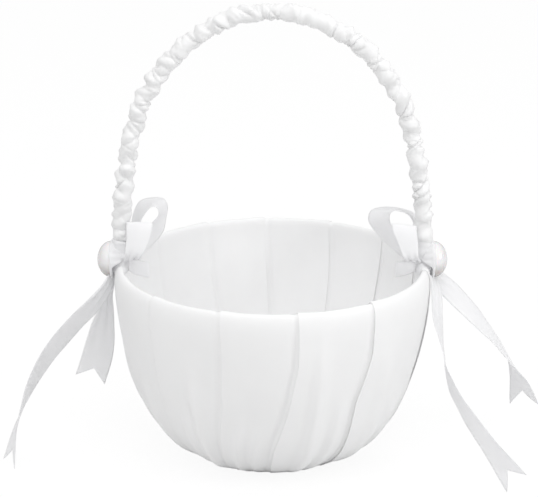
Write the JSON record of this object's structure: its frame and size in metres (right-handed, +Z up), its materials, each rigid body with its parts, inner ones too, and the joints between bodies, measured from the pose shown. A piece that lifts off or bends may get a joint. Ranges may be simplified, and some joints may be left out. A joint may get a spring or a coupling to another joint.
{
  "type": "flower girl basket",
  "caption": "Padded round basket in pleated white satin with a fixed arched handle, ribbon bows, pearls and hanging ribbon tails.",
  "frame": {"origin": "middle of the flat underside that the basket stands on", "axes": "+Z up, +X from the left handle foot to the right one, -Y the front"},
  "size_m": [0.3503, 0.2, 0.2882],
  "materials": {
    "satin": "pleated white satin",
    "ruched_satin": "ruched white satin",
    "ribbon": "smooth white satin ribbon",
    "pearl": "pearlescent gloss",
    "former_plastic": "moulded, matt",
    "wadding": "fibre wadding",
    "card": "plain white board",
    "wire": "bright drawn wire",
    "rivet": "bare",
    "glue": "clear hot-melt glue"
  },
  "bodies": {
    "basket": {"base_card": "card", "base_satin": "satin", "bowl_former": "former_plastic", "floor_card": "card", "floor_pad": "wadding", "floor_satin": "satin", "glue_dabs": "glue", "handle_core": "wire", "handle_rivets": "rivet", "handle_sleeve": "ruched_satin", "left_back_loop": "ribbon", "left_front_loop": "ribbon", "left_knot": "ribbon", "left_pearl": "pearl", "right_back_loop": "ribbon", "right_front_loop": "ribbon", "right_knot": "ribbon", "right_pearl": "pearl", "satin_cover": "satin", "wadding": "wadding"},
    "left_front_tail": {"left_front_tail": "ribbon"},
    "left_back_tail": {"left_back_tail": "ribbon"},
    "right_front_tail": {"right_front_tail": "ribbon"},
    "right_back_tail": {"right_back_tail": "ribbon"}
  },
  "joints": [
    {"name": "left_front_tail_swing", "type": "hinge", "parent": "basket", "child": "left_front_tail", "pos_m": [-0.1014, -0.005, 0.1144], "axis": [-0.5501, 0.8351, 0], "range_deg": [-14, 45], "stiffness_Nm_per_rad": 0.01},
    {"name": "left_back_tail_swing", "type": "hinge", "parent": "basket", "child": "left_back_tail", "pos_m": [-0.1014, 0.005, 0.1144], "axis": [0.3, 0.9539, 0], "range_deg": [-5, 45], "stiffness_Nm_per_rad": 0.01},
    {"name": "right_front_tail_swing", "type": "hinge", "parent": "basket", "child": "right_front_tail", "pos_m": [0.1014, -0.005, 0.1144], "axis": [-0.8601, -0.5101, 0], "range_deg": [-12, 45], "stiffness_Nm_per_rad": 0.01},
    {"name": "right_back_tail_swing", "type": "hinge", "parent": "basket", "child": "right_back_tail", "pos_m": [0.1014, 0.005, 0.1144], "axis": [0.1701, -0.9854, 0], "range_deg": [-22, 45], "stiffness_Nm_per_rad": 0.01}
  ]
}
